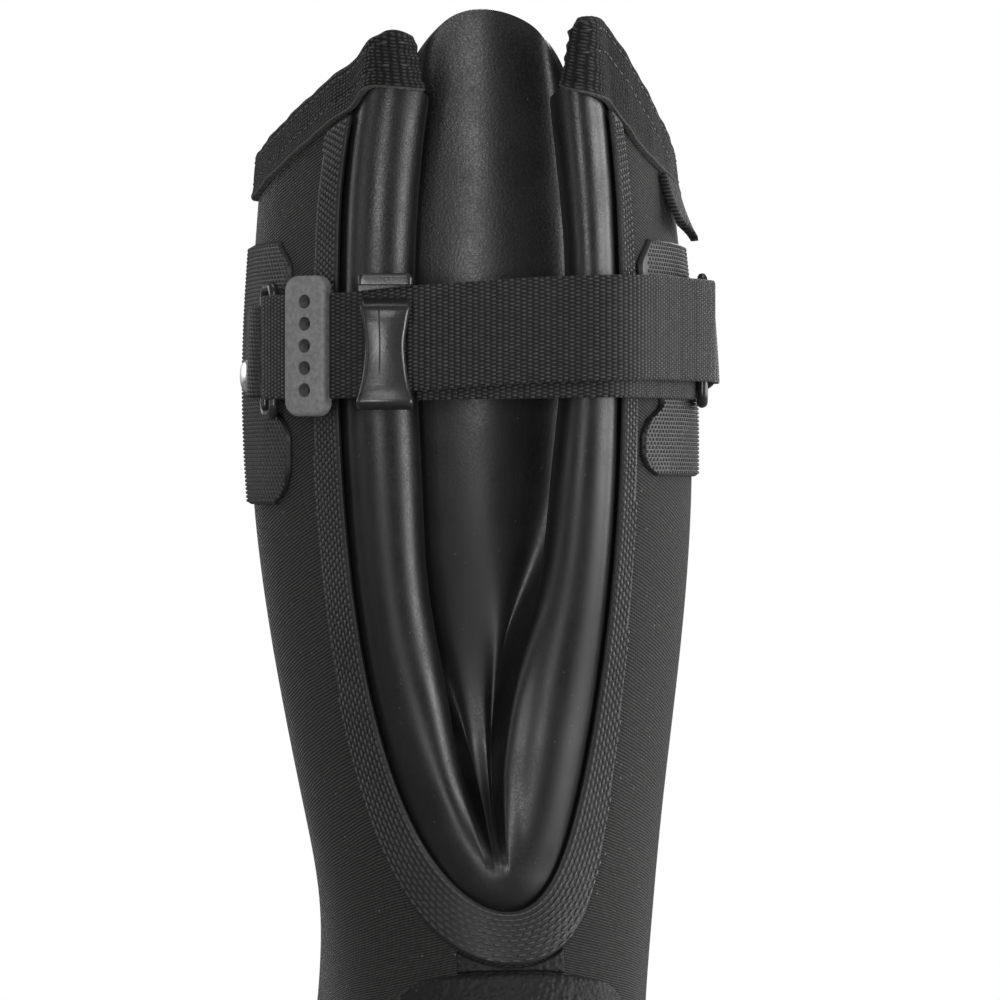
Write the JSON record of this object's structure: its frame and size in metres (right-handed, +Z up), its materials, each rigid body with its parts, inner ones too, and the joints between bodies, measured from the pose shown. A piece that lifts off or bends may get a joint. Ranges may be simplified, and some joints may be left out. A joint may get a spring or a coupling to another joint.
{
  "type": "rubber work boot",
  "caption": "Tall left-foot rubber work boot: fabric-faced shaft, folded rubber gusset in a rear cut-out with textured trim, bound collar, and a buckled webbing strap across the gusset.",
  "frame": {"origin": "on the floor under the middle of the boot's bounding box", "axes": "+Y to the toe, -X to the outer side of the left foot, +Z up the shaft"},
  "size_m": [0.121, 0.298, 0.3658],
  "materials": {
    "shaft_fabric": "knit-faced foam, matte",
    "smooth_rubber": "smooth, satin",
    "textured_rubber": "moulded texture, matte",
    "sole_rubber": "matte",
    "binding_knit": "elastic knit tape, matte",
    "webbing": "woven, slight sheen",
    "black_plastic": "satin",
    "rivet_metal": "bright",
    "insole_fabric": "matte"
  },
  "bodies": {
    "root": {"upper": "shaft_fabric", "foot_shell": "smooth_rubber", "heel_counter": "textured_rubber", "heel_strip": "textured_rubber", "outsole": "sole_rubber", "insole": "insole_fabric", "gusset": "smooth_rubber", "gusset_trim": "textured_rubber", "collar_binding": "binding_knit", "patch_outer": "textured_rubber", "patch_inner": "textured_rubber", "tab_outer": "textured_rubber", "tab_inner": "textured_rubber", "ring_outer": "black_plastic", "ring_inner": "black_plastic", "rivet_outer": "rivet_metal", "rivet_inner": "rivet_metal", "strap": "webbing", "strap_base": "webbing", "strap_tip": "black_plastic", "buckle_frame": "black_plastic", "buckle_lever": "black_plastic", "pull_tab": "webbing"}
  },
  "joints": []
}
